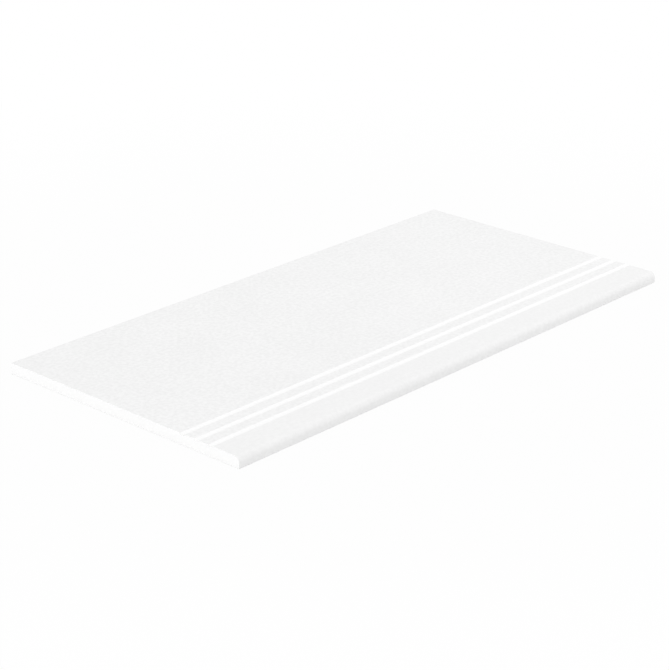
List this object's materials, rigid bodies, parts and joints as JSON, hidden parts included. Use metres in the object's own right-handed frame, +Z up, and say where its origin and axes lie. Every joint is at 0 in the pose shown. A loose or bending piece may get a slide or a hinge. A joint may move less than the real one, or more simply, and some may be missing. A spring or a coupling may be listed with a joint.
{
  "type": "stair tread tile",
  "caption": "Rectangular porcelain tile for a stair tread, with a rounded front nose, anti-slip grooves parallel to it and a keyed back for mortar.",
  "frame": {"origin": "middle of the underside, on the plane that the tile beds on", "axes": "+X along the nose, +Y from the nose to the back edge, +Z up, out of the walking face"},
  "size_m": [0.598, 0.296, 0.011],
  "materials": {
    "porcelain": "matt"
  },
  "bodies": {
    "root": {"tread_tile": "porcelain"}
  },
  "joints": []
}
